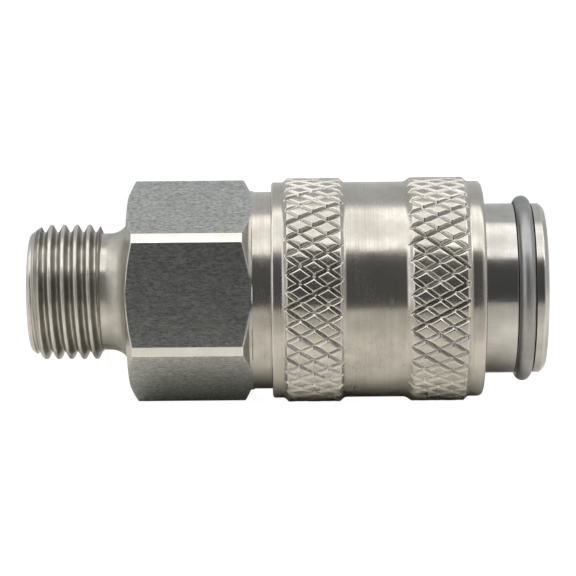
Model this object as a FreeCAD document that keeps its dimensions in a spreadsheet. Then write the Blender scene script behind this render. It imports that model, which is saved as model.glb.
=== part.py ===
import FreeCAD, Part
import math
import os
import Sketcher

# Quick disconnect coupler: ball-locking socket with a threaded adapter.
# Local X runs along the axis from the thread's end face to the mouth of the
# socket.  Each sub-part is drawn from x = 0 and its Placement moves it back by
# half the length, so the origin lies on the axis at the middle of the object.

doc = FreeCAD.newDocument("QuickDisconnectCoupler")

# Driving dimensions in millimetres.  Names that end in _x are stations along
# the axis, names that end in _rad are radii.
DIMENSIONS = {
    "half_length": 18.27,
    "cut_clear_rad": 9.5,
    # threaded shank, G 1/8
    "thread_rim_rad": 4.14,
    "thread_lead_x": 0.97,
    "thread_major_rad": 4.82,
    "thread_minor_rad": 4.28,
    "thread_pitch": 0.907,
    "thread_crest_flat": 0.16,
    "thread_root_flat": 0.14,
    "thread_full_x": 4.88,
    "thread_groove_x": 5.55,
    "relief_start_x": 5.16,
    "relief_rad": 4.165,
    "relief_fillet": 1.45,
    # hexagon and collar
    "hex_start_x": 7.10,
    "hex_across_flats": 14.0,
    "hex_core_rad": 6.6,
    "hex_face_rad": 7.0,
    "hex_full_start_x": 7.55,
    "hex_corner_rad": 7.88,
    "hex_full_end_x": 15.23,
    "hex_foot_x": 15.58,
    "hex_foot_rad": 7.22,
    "hex_end_x": 15.82,
    "collar_rad": 7.04,
    "collar_end_x": 20.2,
    "collar_edge": 0.2,
    # inside of the adapter
    "flow_rad": 2.5,
    "flow_mouth_x": 0.4,
    "flow_mouth_rad": 2.9,
    "spring_shoulder_x": 8.5,
    "spring_chamber_rad": 4.55,
    "joint_step_x": 14.4,
    "joint_socket_rad": 6.07,
    # socket body
    "body_rear_x": 15.0,
    "body_rad": 6.05,
    "body_rear_edge": 0.3,
    "chamber_rad": 5.1,
    "seat_start_x": 21.777,
    "seat_end_x": 22.827,
    "bore_rad": 4.05,
    "seal_groove_start_x": 25.6,
    "seal_groove_end_x": 27.1,
    "seal_groove_rad": 5.22,
    "guide_start_x": 30.4,
    "guide_end_x": 30.6,
    "guide_rad": 4.25,
    "guide_front_x": 35.95,
    "mouth_rad": 4.75,
    "ring_groove_start_x": 34.39,
    "ring_groove_end_x": 35.66,
    "ring_groove_rad": 5.44,
    "nose_rad": 6.035,
    "nose_edge_x": 36.23,
    "nose_x": 36.54,
    "nose_rim_rad": 5.68,
    # holes for the locking balls
    "ball_x": 29.0,
    "ball_hole_rad": 1.28,
    "ball_hole_inner_rad": 1.03,
    "ball_hole_start_rad": 3.2,
    "ball_hole_seat_rad": 4.5,
    "ball_hole_end_rad": 7.0,
    "ball_rad": 1.25,
    "ball_centre_rad": 5.28,
    # snap ring
    "ring_x": 35.01,
    "ring_centre_rad": 6.03,
    "ring_wire_rad": 0.575,
    "ring_angle": 348.0,
    "ring_turn": 250.0,
    # release sleeve, outside
    "sleeve_rear_x": 17.22,
    "sleeve_rear_rad": 7.705,
    "sleeve_rear_edge": 0.2,
    "band_one_foot_x": 18.05,
    "band_one_start_x": 18.33,
    "band_rad": 8.0,
    "band_one_end_x": 22.02,
    "waist_start_x": 22.34,
    "waist_rad": 7.69,
    "waist_end_x": 26.64,
    "band_two_start_x": 27.14,
    "band_two_end_x": 30.79,
    "band_two_foot_x": 31.07,
    "sleeve_front_x": 32.13,
    "sleeve_front_edge": 0.4,
    "waist_fillet": 0.6,
    # release sleeve, inside
    "sleeve_rear_bore_rad": 7.10,
    "sleeve_shoulder_x": 25.2,
    "sleeve_land_rad": 6.13,
    "cam_start_x": 26.75,
    "cam_end_x": 29.1,
    "cam_rad": 6.60,
    "recess_end_x": 30.2,
    "sleeve_lip_rad": 6.15,
    "sleeve_lip_edge": 0.25,
    # sleeve washer and sleeve spring
    "washer_start_x": 24.78,
    "washer_end_x": 25.18,
    "washer_inner_rad": 6.14,
    "washer_outer_rad": 7.02,
    "sleeve_spring_x": 20.49,
    "sleeve_spring_rad": 6.57,
    "sleeve_spring_wire_rad": 0.275,
    "sleeve_spring_rise": 4.0,
    "sleeve_spring_pitch": 1.15,
    # valve
    "stem_end_x": 18.0,
    "stem_edge_x": 18.4,
    "stem_end_rad": 2.4,
    "stem_rad": 2.8,
    "head_start_x": 20.6,
    "head_rad": 4.55,
    "valve_groove_start_x": 21.38,
    "valve_groove_end_x": 22.62,
    "valve_groove_rad": 3.38,
    "skirt_rad": 4.0,
    "skirt_edge_x": 29.0,
    "skirt_front_x": 29.4,
    "skirt_front_rad": 3.6,
    "skirt_bore_rad": 3.1,
    "skirt_floor_x": 23.4,
    "port_x": 24.6,
    "port_rad": 1.0,
    "port_reach": 5.0,
    "valve_seal_x": 22.0,
    "valve_seal_rad": 4.0,
    "valve_seal_wire_rad": 0.6,
    "valve_spring_x": 8.82,
    "valve_spring_rad": 3.5,
    "valve_spring_wire_rad": 0.3,
    "valve_spring_rise": 11.46,
    "valve_spring_pitch": 1.72,
    # seals in the body
    "plug_seal_x": 26.35,
    "plug_seal_rad": 4.63,
    "plug_seal_wire_rad": 0.585,
    "gasket_start_x": 14.42,
    "gasket_end_x": 14.98,
    "gasket_inner_rad": 4.7,
    "gasket_outer_rad": 5.95,
}
BALL_COUNT = 6
PORT_COUNT = 4

sheet = doc.addObject("Spreadsheet::Sheet", "Dims")
for row, (word, value) in enumerate(DIMENSIONS.items(), start=1):
    sheet.set("A%d" % row, word)
    sheet.set("B%d" % row, str(value))
    sheet.setAlias("B%d" % row, word)
doc.recompute()

sub_parts = []


def number(text):
    """The value of a sum such as 'ball_x + ball_rad', in millimetres."""
    total = 0.0
    sign = 1.0
    for word in text.split():
        if word == "+":
            sign = 1.0
        elif word == "-":
            sign = -1.0
        else:
            total += sign * DIMENSIONS[word]
    return total


def formula(text):
    """The same sum as an expression that reads the spreadsheet."""
    return " ".join(word if word in "+-" else "Dims." + word for word in text.split())


def new_body(name):
    """A body whose Placement moves it so that the origin is at mid-length."""
    body = doc.addObject("PartDesign::Body", name)
    body.Label = name
    body.setExpression("Placement.Base.x", "-Dims.half_length")
    sub_parts.append(body)
    return body


def origin_plane(body, role):
    for feature in body.Origin.OriginFeatures:
        if feature.Role == role:
            return feature
    raise ValueError("no origin feature " + role)


def new_sketch(body, name, role="XZ_Plane"):
    sketch = body.newObject("Sketcher::SketchObject", name)
    sketch.AttachmentSupport = [(origin_plane(body, role), "")]
    sketch.MapMode = "FlatFace"
    return sketch


def pin_point(sketch, line, end, x_text, y_text):
    """Tie one end of a line to the sketch's origin by two sheet dimensions."""
    if x_text is None:
        sketch.addConstraint(Sketcher.Constraint("PointOnObject", line, end, -2))
    else:
        index = sketch.addConstraint(
            Sketcher.Constraint("DistanceX", -1, 1, line, end, number(x_text))
        )
        sketch.setExpression("Constraints[%d]" % index, formula(x_text))
    if y_text is None:
        sketch.addConstraint(Sketcher.Constraint("PointOnObject", line, end, -1))
    else:
        index = sketch.addConstraint(
            Sketcher.Constraint("DistanceY", -1, 1, line, end, number(y_text))
        )
        sketch.setExpression("Constraints[%d]" % index, formula(y_text))


def outline(body, name, points, role="XZ_Plane"):
    """A closed outline through points given as (x, y) sums; None is zero."""
    sketch = new_sketch(body, name, role)
    places = []
    for x_text, y_text in points:
        x = 0.0 if x_text is None else number(x_text)
        y = 0.0 if y_text is None else number(y_text)
        places.append(FreeCAD.Vector(x, y, 0))
    count = len(places)
    for i in range(count):
        sketch.addGeometry(Part.LineSegment(places[i], places[(i + 1) % count]), False)
    for i in range(count):
        sketch.addConstraint(Sketcher.Constraint("Coincident", i, 2, (i + 1) % count, 1))
    for i, (x_text, y_text) in enumerate(points):
        pin_point(sketch, i, 1, x_text, y_text)
    return sketch


def round_section(body, name, x_text, y_text, radius_text, role="XZ_Plane"):
    """A circle, for a wire or a seal, placed from the sketch's origin."""
    sketch = new_sketch(body, name, role)
    centre = FreeCAD.Vector(number(x_text), number(y_text), 0)
    axis = FreeCAD.Vector(0, 0, 1)
    sketch.addGeometry(Part.Circle(centre, axis, number(radius_text)), False)
    pin_point(sketch, 0, 3, x_text, y_text)
    index = sketch.addConstraint(Sketcher.Constraint("Radius", 0, number(radius_text)))
    sketch.setExpression("Constraints[%d]" % index, formula(radius_text))
    return sketch


def turn(body, kind, name, sketch, angle_text=None):
    """Revolve (or cut by revolving) a sketch about the coupler's axis."""
    feature = body.newObject("PartDesign::" + kind, name)
    feature.Profile = sketch
    feature.ReferenceAxis = (sketch, ["H_Axis"])
    feature.Angle = 360.0
    if angle_text is not None:
        feature.setExpression("Angle", formula(angle_text))
    sketch.Visibility = False
    body.Tip = feature
    doc.recompute()
    return feature


def edge_at(shape, x_text, radius_text):
    """Names of the circular edges about the axis at a station and a radius."""
    found = []
    for i, edge in enumerate(shape.Edges, start=1):
        curve = edge.Curve
        if not isinstance(curve, Part.Circle):
            continue
        off_axis = math.hypot(curve.Center.y, curve.Center.z)
        near_x = abs(curve.Center.x - number(x_text)) < 0.004
        near_radius = abs(curve.Radius - number(radius_text)) < 0.004
        if off_axis < 0.004 and near_x and near_radius:
            found.append("Edge%d" % i)
    if not found:
        raise ValueError("no edge at %s, %s" % (x_text, radius_text))
    return found


def ease(body, kind, name, size_text, places):
    """Fillet or chamfer the circular edges at the places named."""
    base = body.Tip
    edges = []
    for x_text, radius_text in places:
        edges += edge_at(base.Shape, x_text, radius_text)
    feature = body.newObject("PartDesign::" + kind, name)
    feature.Base = (base, edges)
    size = "Radius" if kind == "Fillet" else "Size"
    setattr(feature, size, number(size_text))
    feature.setExpression(size, formula(size_text))
    body.Tip = feature
    doc.recompute()
    return feature


def coil(body, kind, name, sketch, pitch_text, rise_text, reverse=False):
    """Sweep a sketch along a right-hand helix about the coupler's axis."""
    feature = body.newObject("PartDesign::" + kind, name)
    feature.Profile = sketch
    feature.ReferenceAxis = (sketch, ["H_Axis"])
    feature.Mode = "pitch-height-angle"
    feature.Pitch = number(pitch_text)
    feature.Height = number(rise_text)
    feature.setExpression("Pitch", formula(pitch_text))
    feature.setExpression("Height", formula(rise_text))
    feature.Reversed = reverse
    sketch.Visibility = False
    body.Tip = feature
    doc.recompute()
    return feature


def spread(body, name, feature, count):
    """Repeat a feature evenly around the coupler's axis."""
    pattern = body.newObject("PartDesign::PolarPattern", name)
    pattern.Originals = [feature]
    pattern.Axis = (origin_plane(body, "X_Axis"), [""])
    pattern.Angle = 360.0
    pattern.Occurrences = count
    body.Tip = pattern
    doc.recompute()
    return pattern


def hexagon(body, name, start_text, flats_text):
    """Hexagon across the axis with one flat facing -Y and corners up and down."""
    sketch = new_sketch(body, name, "YZ_Plane")
    sketch.setExpression("AttachmentOffset.Base.z", formula(start_text))
    half = number(flats_text) / 2
    corner = half / math.cos(math.radians(30))
    corners = []
    for k in range(6):
        angle = math.radians(30 + 60 * k)
        corners.append(FreeCAD.Vector(corner * math.cos(angle), corner * math.sin(angle), 0))
    for k in range(6):
        sketch.addGeometry(Part.LineSegment(corners[k], corners[(k + 1) % 6]), False)
    circle = sketch.addGeometry(
        Part.Circle(FreeCAD.Vector(0, 0, 0), FreeCAD.Vector(0, 0, 1), corner), True
    )
    for k in range(6):
        sketch.addConstraint(Sketcher.Constraint("Coincident", k, 2, (k + 1) % 6, 1))
        sketch.addConstraint(Sketcher.Constraint("PointOnObject", k, 1, circle))
    for k in range(1, 6):
        sketch.addConstraint(Sketcher.Constraint("Equal", 0, k))
    sketch.addConstraint(Sketcher.Constraint("Coincident", circle, 3, -1, 1))
    sketch.addConstraint(Sketcher.Constraint("PointOnObject", 1, 1, -2))
    index = sketch.addConstraint(
        Sketcher.Constraint("DistanceX", 3, 1, 0, 1, number(flats_text))
    )
    sketch.setExpression("Constraints[%d]" % index, formula(flats_text))
    return sketch


# ---- threaded adapter: shank, hexagon and the collar that the sleeve rides on
adapter = new_body("threaded_adapter")
shank = outline(
    adapter,
    "shank_outline",
    [
        (None, None),
        (None, "thread_rim_rad"),
        ("thread_lead_x", "thread_major_rad"),
        ("thread_full_x", "thread_major_rad"),
        ("relief_start_x", "relief_rad"),
        ("hex_start_x", "relief_rad"),
        ("hex_start_x", "hex_core_rad"),
        ("hex_end_x", "hex_core_rad"),
        ("hex_end_x", "collar_rad"),
        ("collar_end_x", "collar_rad"),
        ("collar_end_x", None),
    ],
)
turn(adapter, "Revolution", "shank_turned", shank)

hex_sketch = hexagon(adapter, "hexagon_outline", "hex_start_x", "hex_across_flats")
hex_pad = adapter.newObject("PartDesign::Pad", "hexagon_bar")
hex_pad.Profile = hex_sketch
hex_pad.setExpression("Length", "Dims.hex_end_x - Dims.hex_start_x")
adapter.Tip = hex_pad
doc.recompute()

corner_cut = outline(
    adapter,
    "hexagon_corner_outline",
    [
        ("hex_start_x", "hex_face_rad"),
        ("hex_full_start_x", "hex_corner_rad"),
        ("hex_full_end_x", "hex_corner_rad"),
        ("hex_foot_x", "hex_foot_rad"),
        ("hex_end_x", "collar_rad"),
        ("hex_end_x", "cut_clear_rad"),
        ("hex_start_x", "cut_clear_rad"),
    ],
)
turn(adapter, "Groove", "hexagon_corners_turned", corner_cut)
ease(adapter, "Fillet", "relief_round", "relief_fillet", [("hex_start_x", "relief_rad")])
ease(adapter, "Chamfer", "collar_edge_cut", "collar_edge", [("collar_end_x", "collar_rad")])

flow = outline(
    adapter,
    "flow_outline",
    [
        (None, None),
        (None, "flow_mouth_rad"),
        ("flow_mouth_x", "flow_rad"),
        ("spring_shoulder_x", "flow_rad"),
        ("spring_shoulder_x", "spring_chamber_rad"),
        ("joint_step_x", "spring_chamber_rad"),
        ("joint_step_x", "joint_socket_rad"),
        ("collar_end_x", "joint_socket_rad"),
        ("collar_end_x", None),
    ],
)
turn(adapter, "Groove", "flow_bored", flow)

# The thread is one helical V groove, cut from the relief towards the end face.
half_groove = (DIMENSIONS["thread_pitch"] - DIMENSIONS["thread_crest_flat"]) / 2
thread_section = new_sketch(adapter, "thread_groove_outline")
groove_x = number("thread_groove_x")
over = 0.06
slope = (half_groove - DIMENSIONS["thread_root_flat"] / 2) / number(
    "thread_major_rad - thread_minor_rad"
)
groove_points = [
    (groove_x - half_groove - slope * over, number("thread_major_rad") + over),
    (groove_x - DIMENSIONS["thread_root_flat"] / 2, number("thread_minor_rad")),
    (groove_x + DIMENSIONS["thread_root_flat"] / 2, number("thread_minor_rad")),
    (groove_x + half_groove + slope * over, number("thread_major_rad") + over),
]
for i in range(4):
    first = FreeCAD.Vector(groove_points[i][0], groove_points[i][1], 0)
    second = FreeCAD.Vector(groove_points[(i + 1) % 4][0], groove_points[(i + 1) % 4][1], 0)
    thread_section.addGeometry(Part.LineSegment(first, second), False)
for i in range(4):
    thread_section.addConstraint(Sketcher.Constraint("Coincident", i, 2, (i + 1) % 4, 1))
thread_section.addConstraint(Sketcher.Constraint("Horizontal", 1))
thread_section.addConstraint(Sketcher.Constraint("Horizontal", 3))
thread_section.addConstraint(Sketcher.Constraint("Equal", 0, 2))
for line, end, kind, text in (
    (1, 1, "DistanceY", "Dims.thread_minor_rad"),
    (0, 1, "DistanceY", "Dims.thread_major_rad + %g" % over),
    (1, 1, "DistanceX", "Dims.thread_groove_x - Dims.thread_root_flat / 2"),
):
    where = groove_points[line][1] if kind == "DistanceY" else groove_points[line][0]
    index = thread_section.addConstraint(
        Sketcher.Constraint(kind, -1, 1, line, end, where)
    )
    thread_section.setExpression("Constraints[%d]" % index, text)
index = thread_section.addConstraint(
    Sketcher.Constraint("DistanceX", 1, 1, 1, 2, DIMENSIONS["thread_root_flat"])
)
thread_section.setExpression("Constraints[%d]" % index, "Dims.thread_root_flat")
index = thread_section.addConstraint(
    Sketcher.Constraint(
        "DistanceX", 0, 1, 2, 2, groove_points[3][0] - groove_points[0][0]
    )
)
thread_section.setExpression(
    "Constraints[%d]" % index,
    "Dims.thread_pitch - Dims.thread_crest_flat + %g" % (2 * slope * over),
)
coil(
    adapter,
    "SubtractiveHelix",
    "thread_cut",
    thread_section,
    "thread_pitch",
    "hex_start_x - thread_crest_flat",
    reverse=True,
)

# ---- socket body: the tube that takes the plug
socket = new_body("socket_body")
socket_outline = outline(
    socket,
    "socket_outline",
    [
        ("body_rear_x", "chamber_rad"),
        ("body_rear_x", "body_rad - body_rear_edge"),
        ("body_rear_x + body_rear_edge", "body_rad"),
        ("ring_groove_start_x", "body_rad"),
        ("ring_groove_start_x", "ring_groove_rad"),
        ("ring_groove_end_x", "ring_groove_rad"),
        ("ring_groove_end_x", "nose_rad"),
        ("nose_edge_x", "nose_rad"),
        ("nose_x", "nose_rim_rad"),
        ("nose_x", "mouth_rad"),
        ("guide_front_x", "guide_rad"),
        ("guide_end_x", "guide_rad"),
        ("guide_start_x", "bore_rad"),
        ("seal_groove_end_x", "bore_rad"),
        ("seal_groove_end_x", "seal_groove_rad"),
        ("seal_groove_start_x", "seal_groove_rad"),
        ("seal_groove_start_x", "bore_rad"),
        ("seat_end_x", "bore_rad"),
        ("seat_start_x", "chamber_rad"),
    ],
)
turn(socket, "Revolution", "socket_turned", socket_outline)

# One ball hole, narrowed at its inner end so that the ball cannot fall through.
ball_hole = outline(
    socket,
    "ball_hole_outline",
    [
        ("ball_x", "ball_hole_start_rad"),
        ("ball_x + ball_hole_inner_rad", "ball_hole_start_rad"),
        ("ball_x + ball_hole_inner_rad", "bore_rad"),
        ("ball_x + ball_hole_rad", "ball_hole_seat_rad"),
        ("ball_x + ball_hole_rad", "ball_hole_end_rad"),
        ("ball_x", "ball_hole_end_rad"),
    ],
)
ball_bore = socket.newObject("PartDesign::Groove", "ball_hole_drilled")
ball_bore.Profile = ball_hole
ball_bore.ReferenceAxis = (ball_hole, ["Edge6"])
ball_bore.Angle = 360.0
socket.Tip = ball_bore
doc.recompute()
spread(socket, "ball_holes", ball_bore, BALL_COUNT)

# ---- snap ring: round wire with its gap at the back
ring = new_body("snap_ring")
ring_section = round_section(
    ring, "ring_wire_section", "ring_x", "ring_centre_rad", "ring_wire_rad"
)
turn(ring, "Revolution", "ring_bent", ring_section, "ring_angle")
ring.setExpression("Placement.Rotation.Angle", "Dims.ring_turn")
ring.setExpression("Placement.Rotation.Axis.x", "1")
ring.setExpression("Placement.Rotation.Axis.y", "0")
ring.setExpression("Placement.Rotation.Axis.z", "0")

# ---- release sleeve
sleeve = new_body("release_sleeve")
sleeve_outline = outline(
    sleeve,
    "sleeve_outline",
    [
        ("sleeve_rear_x", "sleeve_rear_bore_rad"),
        ("sleeve_rear_x", "sleeve_rear_rad"),
        ("band_one_foot_x", "sleeve_rear_rad"),
        ("band_one_start_x", "band_rad"),
        ("band_one_end_x", "band_rad"),
        ("waist_start_x", "waist_rad"),
        ("waist_end_x", "waist_rad"),
        ("band_two_start_x", "band_rad"),
        ("band_two_end_x", "band_rad"),
        ("band_two_foot_x", "waist_rad"),
        ("sleeve_front_x", "waist_rad"),
        ("sleeve_front_x", "sleeve_lip_rad + sleeve_lip_edge"),
        ("sleeve_front_x - sleeve_lip_edge", "sleeve_lip_rad"),
        ("recess_end_x", "sleeve_lip_rad"),
        ("recess_end_x", "cam_rad"),
        ("cam_end_x", "cam_rad"),
        ("cam_start_x", "sleeve_land_rad"),
        ("sleeve_shoulder_x", "sleeve_land_rad"),
        ("sleeve_shoulder_x", "sleeve_rear_bore_rad"),
    ],
)
turn(sleeve, "Revolution", "sleeve_turned", sleeve_outline)
ease(
    sleeve,
    "Fillet",
    "sleeve_front_round",
    "sleeve_front_edge",
    [("sleeve_front_x", "waist_rad")],
)
ease(
    sleeve,
    "Fillet",
    "sleeve_rear_round",
    "sleeve_rear_edge",
    [("sleeve_rear_x", "sleeve_rear_rad")],
)
ease(
    sleeve,
    "Fillet",
    "waist_rounds",
    "waist_fillet",
    [("waist_start_x", "waist_rad"), ("waist_end_x", "waist_rad")],
)

# ---- washer between the sleeve spring and the sleeve's inner shoulder
washer = new_body("sleeve_washer")
washer_outline = outline(
    washer,
    "washer_outline",
    [
        ("washer_start_x", "washer_inner_rad"),
        ("washer_start_x", "washer_outer_rad"),
        ("washer_end_x", "washer_outer_rad"),
        ("washer_end_x", "washer_inner_rad"),
    ],
)
turn(washer, "Revolution", "washer_turned", washer_outline)

# ---- springs
for name, key in (("sleeve_spring", "sleeve_spring"), ("valve_spring", "valve_spring")):
    spring = new_body(name)
    wire = round_section(
        spring, key + "_wire", key + "_x", key + "_rad", key + "_wire_rad"
    )
    coil(spring, "AdditiveHelix", key + "_wound", wire, key + "_pitch", key + "_rise")

# ---- valve: stem, head, seal groove and the hollow skirt that carries the balls
valve = new_body("valve_piston")
valve_outline = outline(
    valve,
    "valve_outline",
    [
        ("stem_end_x", None),
        ("stem_end_x", "stem_end_rad"),
        ("stem_edge_x", "stem_rad"),
        ("head_start_x", "stem_rad"),
        ("head_start_x", "head_rad"),
        ("valve_groove_start_x", "head_rad"),
        ("valve_groove_start_x", "valve_groove_rad"),
        ("valve_groove_end_x", "valve_groove_rad"),
        ("valve_groove_end_x", "skirt_rad"),
        ("skirt_edge_x", "skirt_rad"),
        ("skirt_front_x", "skirt_front_rad"),
        ("skirt_front_x", "skirt_bore_rad"),
        ("skirt_floor_x", "skirt_bore_rad"),
        ("skirt_floor_x", None),
    ],
)
turn(valve, "Revolution", "valve_turned", valve_outline)
port_section = outline(
    valve,
    "port_outline",
    [
        ("port_x", None),
        ("port_x + port_rad", None),
        ("port_x + port_rad", "port_reach"),
        ("port_x", "port_reach"),
    ],
)
port = valve.newObject("PartDesign::Groove", "port_drilled")
port.Profile = port_section
port.ReferenceAxis = (port_section, ["Edge4"])
port.Angle = 360.0
valve.Tip = port
doc.recompute()
spread(valve, "ports", port, PORT_COUNT)

# ---- seals
for name, key in (("valve_seal", "valve_seal"), ("plug_seal", "plug_seal")):
    seal = new_body(name)
    section = round_section(seal, key + "_section", key + "_x", key + "_rad", key + "_wire_rad")
    turn(seal, "Revolution", key + "_moulded", section)

gasket = new_body("body_gasket")
gasket_outline = outline(
    gasket,
    "gasket_outline",
    [
        ("gasket_start_x", "gasket_inner_rad"),
        ("gasket_start_x", "gasket_outer_rad"),
        ("gasket_end_x", "gasket_outer_rad"),
        ("gasket_end_x", "gasket_inner_rad"),
    ],
)
turn(gasket, "Revolution", "gasket_cut", gasket_outline)

# ---- locking balls, pushed outwards by the valve's skirt
for k in range(BALL_COUNT):
    turn_text = "%g deg" % (90 - 360.0 / BALL_COUNT * k)
    ball = doc.addObject("Part::Sphere", "locking_ball_%d" % (k + 1))
    ball.Label = "locking_ball_%d" % (k + 1)
    ball.setExpression("Radius", "Dims.ball_rad")
    ball.setExpression("Placement.Base.x", "Dims.ball_x - Dims.half_length")
    ball.setExpression("Placement.Base.y", "Dims.ball_centre_rad * cos(%s)" % turn_text)
    ball.setExpression("Placement.Base.z", "Dims.ball_centre_rad * sin(%s)" % turn_text)
    sub_parts.append(ball)

doc.recompute()

for thing in doc.Objects:
    for word in ("Invalid", "Error"):
        if word in thing.State:
            raise ValueError("%s is %s" % (thing.Name, thing.State))

os.makedirs("parts", exist_ok=True)
for sub_part in sub_parts:
    shape = sub_part.Shape
    if shape.isNull() or not shape.isValid() or len(shape.Solids) != 1:
        raise ValueError("bad shape: " + sub_part.Label)
    shape.exportStep("parts/%s.step" % sub_part.Label)
    box = shape.BoundBox
    print(
        "%-18s %9.2f mm3  x %7.3f %7.3f  r %6.3f"
        % (sub_part.Label, shape.Volume, box.XMin, box.XMax, max(box.ZMax, box.YMax))
    )
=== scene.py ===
import math

import bmesh
import bpy
import numpy as np
from mathutils import Matrix, Vector


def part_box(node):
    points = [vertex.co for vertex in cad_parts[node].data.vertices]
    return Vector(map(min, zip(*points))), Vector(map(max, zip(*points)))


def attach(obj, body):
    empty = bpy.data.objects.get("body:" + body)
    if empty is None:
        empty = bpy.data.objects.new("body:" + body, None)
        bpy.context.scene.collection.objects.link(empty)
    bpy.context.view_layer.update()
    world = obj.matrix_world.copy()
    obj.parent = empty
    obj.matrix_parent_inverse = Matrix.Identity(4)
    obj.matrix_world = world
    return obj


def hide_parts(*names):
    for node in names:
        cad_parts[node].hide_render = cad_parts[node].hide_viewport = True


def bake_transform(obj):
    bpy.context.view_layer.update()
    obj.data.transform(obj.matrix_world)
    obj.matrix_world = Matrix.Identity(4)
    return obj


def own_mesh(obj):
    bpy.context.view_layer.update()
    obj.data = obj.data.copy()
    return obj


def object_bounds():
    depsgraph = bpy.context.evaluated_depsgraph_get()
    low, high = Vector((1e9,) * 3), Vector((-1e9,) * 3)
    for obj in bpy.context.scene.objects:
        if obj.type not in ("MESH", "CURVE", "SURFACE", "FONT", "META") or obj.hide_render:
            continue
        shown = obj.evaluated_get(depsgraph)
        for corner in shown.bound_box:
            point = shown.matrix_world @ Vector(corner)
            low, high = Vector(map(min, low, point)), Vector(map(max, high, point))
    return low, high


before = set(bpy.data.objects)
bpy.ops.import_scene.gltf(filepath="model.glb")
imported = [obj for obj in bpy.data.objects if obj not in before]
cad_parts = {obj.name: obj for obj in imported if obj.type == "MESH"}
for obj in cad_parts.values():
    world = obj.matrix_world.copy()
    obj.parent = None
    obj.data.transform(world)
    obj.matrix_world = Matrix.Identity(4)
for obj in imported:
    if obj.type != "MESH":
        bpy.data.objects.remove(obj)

CAD_BOX = [list(corner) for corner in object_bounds()]

MM = 0.001
HALF_LENGTH = 18.27          # the CAD origin lies this far from the thread's end face
TAU = 2 * math.pi
KNURL_CENTRE = 20.19         # a column of the sleeve's diamonds stands here
LONGEST_ROUNDING = 0.42      # share of a side that the rounding of a corner may take
LONGEST_SUPPORT = 0.3        # share of what is left that its support row may take
STATION_GAP = 0.012          # a station this near to a row adds no row of its own
OUTSIDE = 6.5                # beyond this radius, edges round the axis wear too
UNWORN, WORN = 2.0, 7.0      # turn per millimetre where wear begins and is full


# ---------------------------------------------------------------- mesh helpers
# Lengths below are in millimetres.  x is counted from the thread's end face,
# r from the axis.  The angle is 0 at the front (-Y) and a quarter turn at the
# top.  A loop is a closed outline: outside from left to right, then back
# through the bore, and each of its points may hold one value or one per column.

def smooth_min(a, b, k):
    """The smaller of two radii, with the edge where they cross rounded by k."""
    h = np.clip(0.5 + 0.5 * (b - a) / k, 0.0, 1.0)
    return b + (a - b) * h - k * h * (1.0 - h)


def smooth_max(a, b, k):
    return -smooth_min(-a, -b, k)


def soften(points, columns, steps=5, support=0.05):
    """Rows (corner, x, r) of a closed loop whose corners (x, r, radius) are rounded.

    steps is the number of pieces in a rounding, and support how far beside it
    the nearest row of the straight side stands.
    """
    count = len(points)
    place = np.array([[np.broadcast_to(v, columns) for v in p[:2]] for p in points], float)
    reach = np.array([np.broadcast_to(p[2], columns) for p in points], float)
    rows = []
    for i in range(count):
        here = place[i]
        if np.max(reach[i]) <= 0:
            rows.append((i, *here))
            continue
        before, after = place[i - 1] - here, place[(i + 1) % count] - here
        to_before = np.hypot(*before) + 1e-9
        to_after = np.hypot(*after) + 1e-9
        size = np.minimum(reach[i], LONGEST_ROUNDING * np.minimum(to_before, to_after))
        start = here + before / to_before * size
        end = here + after / to_after * size
        lead = np.minimum(support, LONGEST_SUPPORT * (to_before - size))
        rows.append((i, *(start + before / to_before * lead)))
        for s in range(steps + 1):
            w = s / steps
            rows.append((i, *((1 - w) ** 2 * start + 2 * w * (1 - w) * here + w * w * end)))
        lead = np.minimum(support, LONGEST_SUPPORT * (to_after - size))
        rows.append((i, *(end + after / to_after * lead)))
    return rows


def fill(rows, first, last, step):
    """Extra rows between corner first and corner last, no more than step apart."""
    out = []
    for n, row in enumerate(rows):
        out.append(row)
        following = rows[(n + 1) % len(rows)]
        if not (first <= row[0] <= last and first <= following[0] <= last):
            continue
        gap = float(np.max(np.hypot(following[1] - row[1], following[2] - row[2])))
        pieces = int(math.ceil(gap / step))
        for s in range(1, pieces):
            w = s / pieces
            out.append((row[0], row[1] + (following[1] - row[1]) * w,
                        row[2] + (following[2] - row[2]) * w))
    return out


def fill_at(rows, first, last, stations):
    """Extra rows at the given stations along the axis, between corners first and last."""
    out = []
    for n, row in enumerate(rows):
        out.append(row)
        following = rows[(n + 1) % len(rows)]
        if not (first <= row[0] <= last and first <= following[0] <= last):
            continue
        start, end = float(row[1][0]), float(following[1][0])
        for x in stations:
            if start + STATION_GAP < x < end - STATION_GAP:
                w = (x - start) / (end - start)
                out.append((row[0], np.full_like(row[1], x),
                            row[2] + (following[2] - row[2]) * w))
    return out


def bend(a, b):
    """How worn an edge is where step a of a line turns right into step b, as 0 to 1."""
    length_a = np.hypot(a[0], a[1]) + 1e-7
    length_b = np.hypot(b[0], b[1]) + 1e-7
    turn = (a[1] * b[0] - a[0] * b[1]) / (length_a * length_b)
    curvature = turn / np.maximum(0.5 * (length_a + length_b), 0.02)
    return np.clip((curvature - UNWORN) / (WORN - UNWORN), 0.0, 1.0)


def wear_of(x, r, angles):
    """Convexity of every vertex of a lathe mesh: along its outline and round the axis."""
    step = (np.roll(x, -1, 0) - x, np.roll(r, -1, 0) - r)
    along = bend((np.roll(step[0], 1, 0), np.roll(step[1], 1, 0)), step)
    y, z = -r * np.cos(angles)[None, :], r * np.sin(angles)[None, :]
    step = (np.roll(y, -1, 1) - y, np.roll(z, -1, 1) - z)
    across = bend((np.roll(step[0], 1, 1), np.roll(step[1], 1, 1)), step)
    wear = np.maximum(along, across * (r > OUTSIDE))
    beside = 0.5 * (np.roll(wear, 1, 0) + np.roll(wear, -1, 0))
    return np.maximum(wear, beside * 0.8)


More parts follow.
